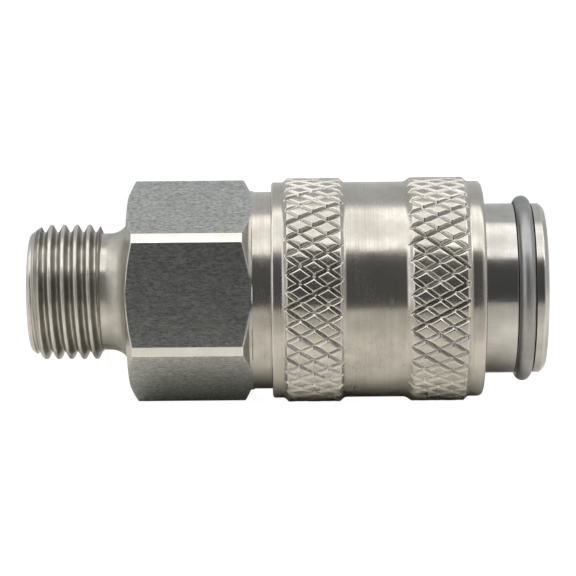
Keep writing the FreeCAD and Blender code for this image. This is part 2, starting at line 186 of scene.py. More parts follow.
def lathe(name, rows, angles, kinds=None, cross=None, hollow=None, sharp=38.0, twist=0.0):
    """A closed mesh from rows (corner, x, r) turned through the angles.

    kinds gives each row's material, as one number or one per column.  cross
    gives the direction in which each cell of a row is split into triangles.
    hollow gives how deep in a groove each vertex of a row lies, from 0 to 1.
    twist turns the columns by that angle for each millimetre along the axis.
    """
    count, columns = len(rows), len(angles)
    x = np.array([np.broadcast_to(row[1], columns) for row in rows])
    r = np.array([np.broadcast_to(row[2], columns) for row in rows])
    place = np.empty((count, columns, 3))
    place[:, :, 0] = (x - HALF_LENGTH) * MM
    around = angles[None, :] + twist * (x - KNURL_CENTRE)
    place[:, :, 1] = -r * np.cos(around) * MM
    place[:, :, 2] = r * np.sin(around) * MM
    i, j = np.meshgrid(np.arange(count), np.arange(columns), indexing="ij")
    down, along = (i + 1) % count, (j + 1) % columns
    here, below = i * columns + j, down * columns + j
    across, right = down * columns + along, i * columns + along
    kind = np.zeros((count, columns), np.int32)
    other = np.zeros((count, columns), bool)
    for n, row in enumerate(rows):
        following = rows[(n + 1) % count]
        if kinds is not None:
            kind[n] = kinds(row, following)
        if cross is not None:
            other[n] = cross(row, following)
    first = np.where(other[..., None], np.stack([here, below, right], -1),
                     np.stack([here, below, across], -1))
    second = np.where(other[..., None], np.stack([below, across, right], -1),
                      np.stack([here, across, right], -1))
    faces = np.stack([first, second], 2).reshape(-1, 3)
    mesh = bpy.data.meshes.new(name)
    mesh.vertices.add(count * columns)
    mesh.vertices.foreach_set("co", place.reshape(-1))
    mesh.loops.add(faces.size)
    mesh.loops.foreach_set("vertex_index", faces.reshape(-1).astype(np.int32))
    mesh.polygons.add(len(faces))
    mesh.polygons.foreach_set("loop_start", np.arange(0, faces.size, 3, dtype=np.int32))
    mesh.polygons.foreach_set("material_index", np.repeat(kind.reshape(-1), 2))
    mesh.update(calc_edges=True)
    mesh.validate()
    mesh.shade_smooth()
    mesh.set_sharp_from_angle(angle=math.radians(sharp))
    wear = mesh.attributes.new("wear", "FLOAT", "POINT")
    wear.data.foreach_set("value", wear_of(x, r, angles).reshape(-1).astype(np.float32))
    # the groove attribute masks where the steel paints shade and grime
    if hollow is not None:
        depth = np.array([np.broadcast_to(hollow(row), columns) for row in rows], np.float32)
        groove = mesh.attributes.new("groove", "FLOAT", "POINT")
        groove.data.foreach_set("value", depth.reshape(-1))
    obj = bpy.data.objects.new(name, mesh)
    bpy.context.scene.collection.objects.link(obj)
    return obj


def tube(name, path, directions, radii, sides):
    """A round bar along a path; each section lies across its own direction."""
    rings = []
    for point, along, radius in zip(path, directions, radii):
        along = Vector(along).normalized()
        outward = Vector((0.0, point[1], point[2])).normalized()
        outward = (outward - along * outward.dot(along)).normalized()
        side = along.cross(outward)
        rings.append([Vector(point) + radius * (math.cos(a) * outward + math.sin(a) * side)
                      for a in np.linspace(0, TAU, sides, endpoint=False)])
    verts = [v for ring in rings for v in ring]
    faces = []
    for n in range(len(rings) - 1):
        for s in range(sides):
            t = (s + 1) % sides
            faces.append((n * sides + s, n * sides + t,
                          (n + 1) * sides + t, (n + 1) * sides + s))
    faces.append(tuple(reversed(range(sides))))
    last = (len(rings) - 1) * sides
    faces.append(tuple(last + s for s in range(sides)))
    mesh = bpy.data.meshes.new(name)
    mesh.from_pydata([tuple(v) for v in verts], [], faces)
    mesh.update()
    obj = bpy.data.objects.new(name, mesh)
    bpy.context.scene.collection.objects.link(obj)
    return obj


def smooth(obj, angle=38.0):
    obj.data.shade_smooth()
    obj.data.set_sharp_from_angle(angle=math.radians(angle))


def drill(obj, x, sections, around):
    """Cuts evenly spaced radial holes, the first straight up.

    sections are (height from the axis, radius).
    """
    sides = 48
    bm = bmesh.new()
    for k in range(around):
        turn = 0.25 * TAU + TAU * k / around
        out = Vector((0, -math.cos(turn), math.sin(turn)))
        side = Vector((0, math.sin(turn), math.cos(turn)))
        centre = Vector(((x - HALF_LENGTH) * MM, 0, 0))
        rings = []
        for height, radius in sections:
            rings.append([bm.verts.new(centre + out * height * MM + radius * MM * (
                math.cos(a) * Vector((1, 0, 0)) + math.sin(a) * side))
                for a in np.linspace(0, TAU, sides, endpoint=False)])
        for one, two in zip(rings, rings[1:]):
            for s in range(sides):
                t = (s + 1) % sides
                bm.faces.new((one[s], one[t], two[t], two[s]))
        bm.faces.new(list(reversed(rings[0])))
        bm.faces.new(rings[-1])
    bmesh.ops.recalc_face_normals(bm, faces=bm.faces)
    mesh = bpy.data.meshes.new("cutter")
    bm.to_mesh(mesh)
    bm.free()
    cutter = bpy.data.objects.new("cutter", mesh)
    bpy.context.scene.collection.objects.link(cutter)
    cut = obj.modifiers.new("holes", "BOOLEAN")
    cut.operation = "DIFFERENCE"
    cut.solver = "EXACT"
    cut.object = cutter
    bpy.context.view_layer.update()
    depsgraph = bpy.context.evaluated_depsgraph_get()
    done = bpy.data.meshes.new_from_object(obj.evaluated_get(depsgraph))
    obj.modifiers.clear()
    obj.data = done
    bpy.data.objects.remove(cutter)


# -------------------------------------------------------------------- materials

class Nodes:
    """A short way to write a material's node tree."""

    def __init__(self, name):
        self.material = bpy.data.materials.new(name)
        self.material.use_nodes = True
        self.tree = self.material.node_tree
        self.shader = self.tree.nodes["Principled BSDF"]
        self.coords = self.tree.nodes.new("ShaderNodeTexCoord").outputs["Object"]

    def node(self, kind, **values):
        made = self.tree.nodes.new(kind)
        for key, value in values.items():
            setattr(made, key, value)
        return made

    def put(self, value, socket):
        if isinstance(value, bpy.types.NodeSocket):
            self.tree.links.new(value, socket)
        else:
            socket.default_value = value

    def noise(self, stretch, detail, roughness=0.55, offset=(0, 0, 0)):
        """Noise whose grains are 1/stretch metres long on each axis."""
        mapping = self.node("ShaderNodeMapping")
        mapping.inputs["Scale"].default_value = stretch
        mapping.inputs["Location"].default_value = offset
        self.put(self.coords, mapping.inputs["Vector"])
        made = self.node("ShaderNodeTexNoise")
        made.inputs["Scale"].default_value = 1.0
        made.inputs["Detail"].default_value = detail
        made.inputs["Roughness"].default_value = roughness
        self.put(mapping.outputs["Vector"], made.inputs["Vector"])
        return made.outputs["Fac"]

    def ramp(self, value, low, high, out_low=0.0, out_high=1.0):
        made = self.node("ShaderNodeMapRange", clamp=True)
        self.put(value, made.inputs["Value"])
        made.inputs["From Min"].default_value = low
        made.inputs["From Max"].default_value = high
        made.inputs["To Min"].default_value = out_low
        made.inputs["To Max"].default_value = out_high
        return made.outputs["Result"]

    def maths(self, operation, a, b):
        made = self.node("ShaderNodeMath", operation=operation)
        self.put(a, made.inputs[0])
        self.put(b, made.inputs[1])
        return made.outputs[0]

    def mix(self, factor, a, b):
        made = self.node("ShaderNodeMix", data_type="RGBA")
        self.put(factor, made.inputs["Factor"])
        self.put(a, made.inputs["A"])
        self.put(b, made.inputs["B"])
        return made.outputs["Result"]

    def attribute(self, name):
        return self.node("ShaderNodeAttribute", attribute_type="GEOMETRY",
                         attribute_name=name).outputs["Fac"]

    def bump(self, height, distance, normal=None):
        made = self.node("ShaderNodeBump")
        made.inputs["Strength"].default_value = 1.0
        made.inputs["Distance"].default_value = distance
        self.put(height, made.inputs["Height"])
        if normal is not None:
            self.put(normal, made.inputs["Normal"])
        return made.outputs["Normal"]

    def edges(self):
        """1 on convex edges, 0 elsewhere, broken up a little along their length."""
        uneven = self.ramp(self.noise((2100.0, 2100.0, 2100.0), detail=3.0), 0.3, 0.6, 0.45, 1.0)
        return self.maths("MULTIPLY", self.attribute("wear"), uneven)


# painted shade and grime: the dark colour mixed into grooves and thread flanks
SHADE_AND_GRIME = (0.100, 0.088, 0.076, 1.0)


def steel(name, base, dark, worn, rough, lines, streaks=0.0, pits=0.0, blotch=0.05,
          brushed=0.0, beaten=0.0, edge_rough=-0.06):
    """Satin stainless steel, with painted shade and grime in the grooves and pale worn edges.

    base, dark and worn are its colours, and rough and blotch its roughness and
    how much that varies.  lines are turning lines round the axis, streaks run
    along it, pits are small dents, and beaten is an uneven surface.  brushed
    spreads the reflections along the axis.  edge_rough is what wear adds.
    """
    n = Nodes(name)
    ring_lines = n.noise((11000.0, 70.0, 70.0), detail=4.0, roughness=0.6)
    axial = n.noise((260.0, 11000.0, 11000.0), detail=3.0, roughness=0.6, offset=(3.1, 1.7, 0.4))
    cloud = n.noise((420.0, 420.0, 420.0), detail=4.0, roughness=0.6, offset=(9.0, 2.0, 5.0))
    grain = n.noise((9000.0, 9000.0, 9000.0), detail=2.0, offset=(0.3, 7.0, 1.0))

    tone = n.ramp(cloud, 0.36, 0.64, 0.0, 0.60)
    tone = n.maths("ADD", tone, n.ramp(ring_lines, 0.3, 0.7, 0.0, 0.30 * lines))
    if streaks:
        marks = n.ramp(axial, 0.60, 0.74)
        tone = n.maths("ADD", tone, n.maths("MULTIPLY", marks, 0.55 * streaks))
    if pits:
        dents = n.ramp(n.noise((2600.0, 8200.0, 8200.0), detail=2.0), 0.62, 0.72)
        tone = n.maths("ADD", tone, n.maths("MULTIPLY", dents, 0.7 * pits))
    colour = n.mix(n.ramp(tone, 0.0, 1.0), base + (1.0,), dark + (1.0,))
    # painted shade and grime darken the grooves, following the groove attribute and patchy with
    # the cloud
    shade_and_grime = n.maths("MULTIPLY", n.attribute("groove"), n.ramp(cloud, 0.3, 0.7, 0.42, 0.74))
    colour = n.mix(shade_and_grime, colour, SHADE_AND_GRIME)
    edge = n.edges()
    colour = n.mix(n.maths("MULTIPLY", edge, 0.7), colour, worn + (1.0,))
    n.put(colour, n.shader.inputs["Base Color"])

    roughness = n.ramp(cloud, 0.3, 0.7, rough - blotch, rough + blotch)
    roughness = n.maths("ADD", roughness, n.maths("MULTIPLY", shade_and_grime, 0.12))
    roughness = n.maths("ADD", roughness,
                        n.ramp(ring_lines, 0.3, 0.7, -0.03 * lines, 0.03 * lines))
    roughness = n.maths("ADD", roughness, n.maths("MULTIPLY", edge, edge_rough))
    if pits:
        roughness = n.maths("ADD", roughness, n.maths("MULTIPLY", dents, 0.12 * pits))
    n.put(roughness, n.shader.inputs["Roughness"])

    waver = n.noise((170.0, 330.0, 330.0), detail=2.0, offset=(5.0, 8.0, 2.0))
    normal = n.bump(waver, 2.2e-5)
    normal = n.bump(ring_lines, 2.0e-6 * lines, normal=normal)
    normal = n.bump(grain, 1.0e-6, normal=normal)
    if beaten:
        uneven = n.noise((3600.0, 3600.0, 3600.0), detail=3.0, offset=(6.0, 1.0, 2.0))
        normal = n.bump(uneven, 1.0e-5 * beaten, normal=normal)
    if streaks:
        normal = n.bump(axial, 2.5e-6 * streaks, normal=normal)
    if pits:
        normal = n.bump(n.maths("MULTIPLY", dents, -1.0), 6.0e-6 * pits, normal=normal)
    n.put(normal, n.shader.inputs["Normal"])
    n.shader.inputs["Metallic"].default_value = 1.0
    if brushed:
        # turning marks run round the axis, so they spread reflections along it
        tangent = n.node("ShaderNodeTangent", direction_type="RADIAL", axis="X")
        n.put(tangent.outputs["Tangent"], n.shader.inputs["Tangent"])
        n.shader.inputs["Anisotropic"].default_value = brushed
        n.shader.inputs["Anisotropic Rotation"].default_value = 0.25
    return n.material


STEEL = (0.545, 0.527, 0.492)
STEEL_DARK = (0.370, 0.353, 0.323)
STEEL_WORN = (0.660, 0.645, 0.615)

turned = steel("turned_steel", STEEL, STEEL_DARK, STEEL_WORN, 0.24, lines=1.0, brushed=0.35)
cut_steel = steel("cut_steel", (0.560, 0.545, 0.508), (0.400, 0.386, 0.352),
                  (0.760, 0.750, 0.725), 0.33, lines=1.3, pits=0.4, brushed=0.80,
                  edge_rough=0.15)
dull_steel = steel("dull_steel", (0.525, 0.510, 0.474), (0.340, 0.328, 0.298), STEEL_WORN,
                   0.46, lines=0.8, pits=0.5, blotch=0.09, beaten=0.6)
bright = steel("bright_turned_steel", (0.640, 0.630, 0.605), (0.540, 0.530, 0.505), STEEL_WORN,
               0.17, lines=0.6, streaks=0.2)
body_steel = steel("body_steel", (0.540, 0.532, 0.512), (0.370, 0.362, 0.346), STEEL_WORN,
                   0.18, lines=0.7, streaks=1.3)
knurled = steel("knurled_steel", STEEL, STEEL_DARK, STEEL_WORN, 0.25, lines=0.6, pits=0.6,
                blotch=0.07, beaten=1.0)
wire = steel("wire_steel", (0.340, 0.347, 0.353), (0.240, 0.246, 0.252), STEEL_WORN, 0.38,
             lines=0.2, streaks=0.3, blotch=0.08, beaten=0.35)
valve_steel = steel("valve_steel", (0.520, 0.515, 0.500), (0.420, 0.412, 0.400), STEEL_WORN,
                    0.22, lines=1.2)


def bar_material():
    """Cold-drawn hexagon bar: dense fine grain drawn out along the bar, with small dark pits."""
    n = Nodes("drawn_bar_steel")
    grain = n.noise((3000.0, 9500.0, 9500.0), detail=4.0, roughness=0.7)
    coarse = n.noise((1100.0, 2300.0, 2300.0), detail=3.0, roughness=0.6, offset=(4.0, 1.0, 2.0))
    drawn = n.noise((200.0, 9000.0, 9000.0), detail=3.0, roughness=0.6, offset=(1.0, 6.0, 3.0))
    specks = n.noise((4300.0, 9800.0, 9800.0), detail=1.0, offset=(7.0, 3.0, 8.0))
    pits = n.ramp(specks, 0.63, 0.69)
    tone = n.maths("ADD", n.ramp(grain, 0.38, 0.62, 0.0, 0.70),
                   n.ramp(coarse, 0.35, 0.65, 0.0, 0.16))
    tone = n.maths("ADD", tone, n.ramp(drawn, 0.35, 0.65, 0.0, 0.18))
    colour = n.mix(tone, (0.640, 0.656, 0.642, 1.0), (0.225, 0.234, 0.234, 1.0))
    colour = n.mix(n.maths("MULTIPLY", pits, 0.60), colour, (0.110, 0.110, 0.108, 1.0))
    edge = n.edges()
    colour = n.mix(n.maths("MULTIPLY", edge, 0.6), colour, STEEL_WORN + (1.0,))
    n.put(colour, n.shader.inputs["Base Color"])
    roughness = n.ramp(coarse, 0.3, 0.7, 0.27, 0.33)
    roughness = n.maths("ADD", roughness, n.maths("MULTIPLY", pits, 0.10))
    n.put(roughness, n.shader.inputs["Roughness"])
    normal = n.bump(grain, 3.0e-6)
    normal = n.bump(drawn, 2.0e-6, normal=normal)
    n.put(normal, n.shader.inputs["Normal"])
    n.shader.inputs["Metallic"].default_value = 1.0
    return n.material


hex_bar = bar_material()


def ball_material():
    """Polished steel with a slight haze."""
    n = Nodes("ball_steel")
    haze = n.noise((1800.0, 1800.0, 1800.0), detail=4.0)
    n.put(n.mix(n.ramp(haze, 0.35, 0.65), (0.66, 0.66, 0.66, 1.0), (0.58, 0.58, 0.585, 1.0)),
          n.shader.inputs["Base Color"])
    n.put(n.ramp(haze, 0.3, 0.7, 0.06, 0.13), n.shader.inputs["Roughness"])
    n.put(n.bump(haze, 4.0e-7), n.shader.inputs["Normal"])
    n.shader.inputs["Metallic"].default_value = 1.0
    return n.material


def rubber_material():
    """Black rubber, a little chalky in places."""
    n = Nodes("seal_rubber")
    grain = n.noise((16000.0, 16000.0, 16000.0), detail=3.0)
    cloud = n.noise((1500.0, 1500.0, 1500.0), detail=3.0)
    n.put(n.mix(n.ramp(cloud, 0.35, 0.65), (0.016, 0.016, 0.017, 1.0),
                (0.030, 0.029, 0.028, 1.0)), n.shader.inputs["Base Color"])
    n.put(n.ramp(cloud, 0.3, 0.7, 0.42, 0.58), n.shader.inputs["Roughness"])
    n.put(n.bump(grain, 3.0e-6), n.shader.inputs["Normal"])
    return n.material


balls = ball_material()
rubber = rubber_material()


# ------------------------------------------------------- threaded adapter, hexagon

FLAT = 7.0                   # half the hexagon's width across flats
CORNER = 7.88                # radius of the turned corners
COLLAR = 7.04
HEX_START = 7.10
COLLAR_END = 20.2
PITCH = 0.907
CREST = 4.82
ROOT = 4.28
FLANK = 1.86                 # radius lost for each millimetre down a flank
HALF_CREST = 0.075           # half the width of a crest's flat top
THREAD_PHASE = 0.563         # sets where along the axis the crests stand
THREAD_STEP = 0.03           # distance between the rows of the thread
RELIEF = 4.165               # radius of the groove between thread and hexagon
FILLET = 1.45                # from the relief to the hexagon's face
COUNTERBORE = 6.07
CHAMBER = 4.55
FLOW_BORE = 2.5

# the rows of the adapter carry these numbers, and a corner of the hexagon its own
# number on top of HEX
ENTRY, THREAD, FOOT, HEX, BORE = 0, 1, 2, 10, 30
LEFT_EDGE, RIGHT_EDGE, CHAMFER = HEX + 2, HEX + 3, HEX + 3.5

# columns stand closest near the corners, in degrees from a corner to the next
half_sector = [0.0, 0.9, 1.7, 2.2, 2.45, 2.6, 2.72, 2.85, 3.05, 3.35, 3.8]
half_sector += list(np.linspace(4.6, 30.0, 26))
sector = half_sector + [60.0 - a for a in reversed(half_sector[1:-1])]
# corners stand at 90 degrees (top) and every 60 degrees from it
hex_angles = np.radians(np.array([30.0 + 60.0 * k + a for k in range(6) for a in sector]))
from_flat = np.degrees(hex_angles) % 60.0
from_flat = np.radians(np.where(from_flat > 30.0, from_flat - 60.0, from_flat))
hex_r = smooth_min(FLAT / np.cos(from_flat), np.full_like(from_flat, CORNER), 0.02)

# where each column leaves the left chamfer and meets the right one
CHAMFER_R = 6.94             # the left chamfer begins at this radius
left_x = np.interp(hex_r, [CHAMFER_R, CORNER], [HEX_START, 7.56])
BLEND_R = [FLAT, COLLAR, 7.045, 7.06, 7.10, 7.16, 7.22, CORNER]
BLEND_X = [15.86, 15.88, 15.84, 15.77, 15.69, 15.625, 15.58, 15.22]
right_x = np.interp(hex_r, BLEND_R, BLEND_X)


def thread_radius(x, angles):
    """Right-hand 55 degree thread with rounded crests and roots."""
    right_hand = (0.5 * TAU - angles) / TAU
    phase = (x - THREAD_PHASE) / PITCH + 0.25 - right_hand
    from_crest = np.abs(phase - np.round(phase)) * PITCH
    flank = CREST + 0.02 - (from_crest - HALF_CREST) * FLANK
    return smooth_max(smooth_min(flank, np.full_like(flank, CREST), 0.09),
                      np.full_like(flank, ROOT), 0.12)


def thread_envelope(x):
    """The radius that no part of the thread passes: entry chamfer, crest, run-out, relief."""
    return float(np.interp(x, [0.0, 0.97, 4.88, 5.16, 5.5],
                           [4.14, CREST, CREST, RELIEF, RELIEF]))


adapter_rows = [(ENTRY, 0.06, 2.60), (ENTRY, 0.0, 2.92), (ENTRY, 0.0, 4.04)]
for x in np.arange(0.02, 5.52, THREAD_STEP):
    envelope = thread_envelope(x)
    if x < 0.06:             # the end face's edge is broken
        envelope = min(envelope, 4.06 + 2.0 * x)
    adapter_rows.append((THREAD, x, smooth_min(thread_radius(x, hex_angles),
                                               np.full_like(hex_angles, envelope), 0.03)))
FILLET_START, FILLET_STEPS = 5.65, 14
adapter_rows.append((FOOT, 5.58, RELIEF))
for s in range(FILLET_STEPS + 1):
    a = math.radians(90.0 * s / FILLET_STEPS)
    adapter_rows.append((FOOT, FILLET_START + FILLET * math.sin(a),
                         RELIEF + FILLET - FILLET * math.cos(a)))
adapter_rows.append((FOOT, HEX_START, 5.70))

# the hexagon as one run of corners per column
hex_points = [
    (HEX_START, 6.2, 0.0),
    (HEX_START, CHAMFER_R, 0.03),
    (left_x, hex_r, 0.07),
    (right_x, hex_r, 0.07),
    (15.92, COLLAR, 0.02),
    (COLLAR_END, COLLAR, 0.12),
    (COLLAR_END, 6.3, 0.0),
]
hex_rows = [(HEX + corner, x, r)
            for corner, x, r in soften(hex_points, len(hex_angles), support=0.06)]
# the turned right-hand chamfer runs into the collar in a small fillet
for n, row in enumerate(hex_rows):
    adapter_rows.append(row)
    if row[0] == RIGHT_EDGE and hex_rows[n + 1][0] == RIGHT_EDGE + 1:
        start_x, start_r = row[1], row[2]
        end_x, end_r = hex_rows[n + 1][1], hex_rows[n + 1][2]
        high = np.clip((start_r - 7.08) / 0.1, 0, 1)     # 0 where a flat is too low for it
        for w in (0.2, 0.4, 0.55, 0.68, 0.78, 0.86, 0.92, 0.96, 0.985):
            r = start_r + (end_r - start_r) * w
            straight = start_x + (end_x - start_x) * w
            on_blend = np.interp(r, BLEND_R[2:], BLEND_X[2:])
            adapter_rows.append((CHAMFER, straight + (on_blend - straight) * high, r))
adapter_rows += [(BORE, x, r) for x, r in (
    (COLLAR_END, COUNTERBORE), (14.4, COUNTERBORE), (14.4, CHAMBER), (8.5, CHAMBER),
    (8.5, FLOW_BORE), (0.42, FLOW_BORE), (0.36, 2.52))]
adapter_rows = [(corner, np.broadcast_to(np.asarray(x, float), hex_angles.shape),
                 np.broadcast_to(np.asarray(r, float), hex_angles.shape))
                for corner, x, r in adapter_rows]


def adapter_kind(row, following):
    """0 turned, 1 the bar's flats, 2 its turned corners, 3 thread, 4 relief and chamfer."""
    if row[0] in (LEFT_EDGE, RIGHT_EDGE) and following[0] in (LEFT_EDGE, RIGHT_EDGE):
        return np.where(hex_r > CORNER - 0.015, 2, 1)
    if row[0] in (FOOT, RIGHT_EDGE, CHAMFER):
        return 4
    return 3 if row[0] in (ENTRY, THREAD) else 0


def thread_flank_shade(row):
    """Where painted shade and grime darken the thread: 1 half way down a flank of the thread, 0
    on its crest and at its root.
    """
    if row[0] != THREAD or float(np.max(row[1])) < 0.5:
        return 0.0
    down = np.clip((CREST - row[2]) / (CREST - ROOT), 0.0, 1.0)
    return np.clip(5.6 * down * (1.0 - down) - 0.1, 0.0, 1.0)


adapter = lathe("adapter_threaded_hex", adapter_rows, hex_angles, adapter_kind,
                hollow=thread_flank_shade)
for material in (turned, hex_bar, bright, cut_steel, dull_steel):
    adapter.data.materials.append(material)
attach(adapter, "coupler_body")
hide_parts("threaded_adapter")

# ------------------------------------------------------------------ release sleeve

STARTS = 40                  # knurl grooves each way round the sleeve
KNURL_PERIOD = 1.924         # length of one diamond along the axis
KNURL_SKEW = -0.0145         # the diamonds lean by this angle for each millimetre
KNURL_DEPTH = 0.21
KNURL_CELLS = 28             # mesh cells to one knurl pitch, each way
STEEP, GENTLE = 0.155, 0.46  # half widths of a groove's two slopes, in knurl pitches
STEEP_SHARE = 0.76           # how much of the depth the steep slope makes
GROOVE_ROUNDING = 0.018      # rounds a groove's bottom, in knurl pitches
UNEVEN_DEPTH, UNEVEN_PLACE = 0.20, 0.016     # how far chance moves the grooves
CLIP = 1.6                   # in standard deviations
BAND = 8.0                   # radius of the two raised bands
WAIST = 7.69
BEVEL_STEP = 0.05            # distance between the rows of the bands' bevels

sleeve_angles = np.linspace(0, TAU, STARTS * KNURL_CELLS, endpoint=False)
sleeve_points = [
    (17.22, 7.14, 0.04),
    (17.22, 7.705, 0.20),
    (18.05, 7.705, 0.14),
    (18.34, BAND, 0.07),
    (22.01, BAND, 0.10),
    (22.32, WAIST, 0.30),
    (26.66, WAIST, 0.45),
    (27.10, BAND, 0.12),
    (30.78, BAND, 0.08),
    (31.07, WAIST, 0.14),
    (32.13, WAIST, 0.42),
    (32.13, 6.42, 0.06),
    (31.86, 6.15, 0.05),
    (30.2, 6.15, 0.0),
    (30.2, 6.60, 0.0),
    (29.1, 6.60, 0.0),
    (26.75, 6.13, 0.0),
    (25.2, 6.13, 0.0),
    (25.2, 7.10, 0.0),
    (17.27, 7.10, 0.0),
]
sleeve_rows = soften(sleeve_points, len(sleeve_angles), steps=6, support=0.06)
BANDS = ((3, 4), (7, 8))     # each band lies between these two corners
lattice = KNURL_CENTRE + KNURL_PERIOD * np.arange(-60, 180) / KNURL_CELLS
for left, right in BANDS:
    sleeve_rows = fill(sleeve_rows, left - 1, left, BEVEL_STEP)
    sleeve_rows = fill_at(sleeve_rows, left, right, lattice)
    sleeve_rows = fill(sleeve_rows, right, right + 1, BEVEL_STEP)

chance = np.random.default_rng(7)
groove_depth = [1.0 + UNEVEN_DEPTH * chance.standard_normal(STARTS).clip(-CLIP, CLIP)
                for _ in range(2)]
groove_shift = [UNEVEN_PLACE * chance.standard_normal(STARTS).clip(-CLIP, CLIP)
                for _ in range(2)]


def is_outside(row):
    """True for the rows from the left bevel of one band to the right bevel of the other."""
    return BANDS[0][0] - 1 <= row[0] <= BANDS[1][1] + 1


def is_band(row):
    return any(row[0] in band for band in BANDS)


def knurl_grooves(x, angles):
    """How deep each of the two families of grooves is at a place, 1 at its bottom."""
    around = STARTS * angles / TAU - 0.5
    along = (x - KNURL_CENTRE) / KNURL_PERIOD
    found = []
    for family, phase in enumerate((around + along, around - along)):
        number = np.floor(phase).astype(int) % STARTS
        off = np.abs(phase - np.floor(phase) - 0.5 + groove_shift[family][number])
        off = np.sqrt(off * off + GROOVE_ROUNDING ** 2) - GROOVE_ROUNDING
        steep = smooth_max(1.0 - off / STEEP, np.zeros_like(off), 0.20)
        gentle = np.clip(1.0 - off / GENTLE, 0.0, 1.0) ** 2
        mixed = STEEP_SHARE * steep + (1.0 - STEEP_SHARE) * gentle
        found.append(mixed * groove_depth[family][number])
    return found


def knurl_radius(x, angles):
    """The radius of the knurled surface, wherever it is cut."""
    one, two = knurl_grooves(x, angles)
    return BAND - KNURL_DEPTH * smooth_max(one, two, 0.06)


for n, row in enumerate(sleeve_rows):
    if is_outside(row):
        cut = smooth_min(row[2], knurl_radius(row[1], sleeve_angles), 0.012)
        sleeve_rows[n] = (row[0], row[1], cut)


def sleeve_kind(row, following):
    """0 turned, 1 knurled."""
    return 1 if is_band(row) and is_band(following) else 0


def sleeve_cross(row, following):
    """Splits each cell along the groove that runs through it."""
    if not is_outside(row):
        return False
    half_cell = 0.5 * (sleeve_angles[1] - sleeve_angles[0])
    one, two = knurl_grooves((row[1] + following[1]) / 2, sleeve_angles + half_cell)
    return one > two


def sleeve_groove_shade(row):
    """Where painted shade and grime darken the knurl: 1 at the bottom of a groove, 0 on the
    diamonds and where the surface lies too low.
    """
    if not is_outside(row):
        return 0.0
    one, two = knurl_grooves(row[1], sleeve_angles)
    reached = np.clip((row[2] - BAND + 0.29) / 0.25, 0.0, 1.0)
    return (np.clip(np.maximum(one, two) - 0.35, 0.0, 0.65) / 0.65) ** 1.2 * reached


sleeve = lathe("sleeve_knurled", sleeve_rows, sleeve_angles, sleeve_kind, sleeve_cross,
               sleeve_groove_shade, sharp=60.0, twist=KNURL_SKEW)
sleeve.data.materials.append(turned)
sleeve.data.materials.append(knurled)
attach(sleeve, "sleeve")
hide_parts("release_sleeve")

# --------------------------------------------------------------------- socket body

TUBE = 6.05                  # the socket's outside radius
PLUG_BORE = 4.25
SLIDE_BORE = 4.05            # the valve slides in it
round_angles = np.linspace(0, TAU, 288, endpoint=False)
socket_points = [
    (15.0, 5.1, 0.0),
    (15.0, 5.75, 0.0),
    (15.3, TUBE, 0.0),
    (34.39, TUBE, 0.06),
    (34.39, 5.44, 0.03),
    (35.66, 5.44, 0.03),
    (35.66, 6.035, 0.06),
    (36.22, 6.035, 0.07),
    (36.54, 5.70, 0.07),
    (36.54, 4.75, 0.08),
    (35.95, PLUG_BORE, 0.06),
    (30.6, PLUG_BORE, 0.0),
    (30.4, SLIDE_BORE, 0.0),
    (27.1, SLIDE_BORE, 0.03),
    (27.1, 5.22, 0.0),
    (25.6, 5.22, 0.0),
    (25.6, SLIDE_BORE, 0.03),
    (22.827, SLIDE_BORE, 0.03),
    (21.777, 5.1, 0.0),
]
socket = lathe("socket_tube", soften(socket_points, len(round_angles)), round_angles)
drill(socket, 29.0, [(3.0, 1.03), (SLIDE_BORE, 1.03), (4.5, 1.28), (7.0, 1.28)], 6)
socket.data.materials.append(body_steel)
smooth(socket)
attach(socket, "coupler_body")
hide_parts("socket_body")

# ----------------------------------------------------------------------- snap ring

ring_low, ring_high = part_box("snap_ring")
ring_x = (ring_low.x + ring_high.x) / 2
RING_RADIUS = 6.03
WIRE = 0.575                 # radius of the ring's wire
END_ROUNDING = 0.15          # length over which the wire's cut ends are rounded
RING_STEPS = 220
gap_middle = math.radians(180.0 + 26.0)      # at the back, a little below the middle
half_gap = math.radians(6.0)
ring_path, ring_way, ring_size = [], [], []
for s in range(RING_STEPS + 1):
    a = gap_middle + half_gap + (TAU - 2 * half_gap) * s / RING_STEPS
    ring_path.append((ring_x, -RING_RADIUS * MM * math.cos(a), RING_RADIUS * MM * math.sin(a)))
    ring_way.append((0.0, math.sin(a), math.cos(a)))
    from_end = min(s, RING_STEPS - s) * (TAU - 2 * half_gap) / RING_STEPS * RING_RADIUS
    shrunk = 0.14 * max(0.0, 1.0 - from_end / END_ROUNDING) ** 2
    ring_size.append(WIRE * MM * (1.0 - shrunk))
ring = tube("snap_ring_wire", ring_path, ring_way, ring_size, sides=32)
ring.data.materials.append(wire)
smooth(ring, 50.0)
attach(ring, "coupler_body")
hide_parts("snap_ring")

# ------------------------------------------------------------------------- springs


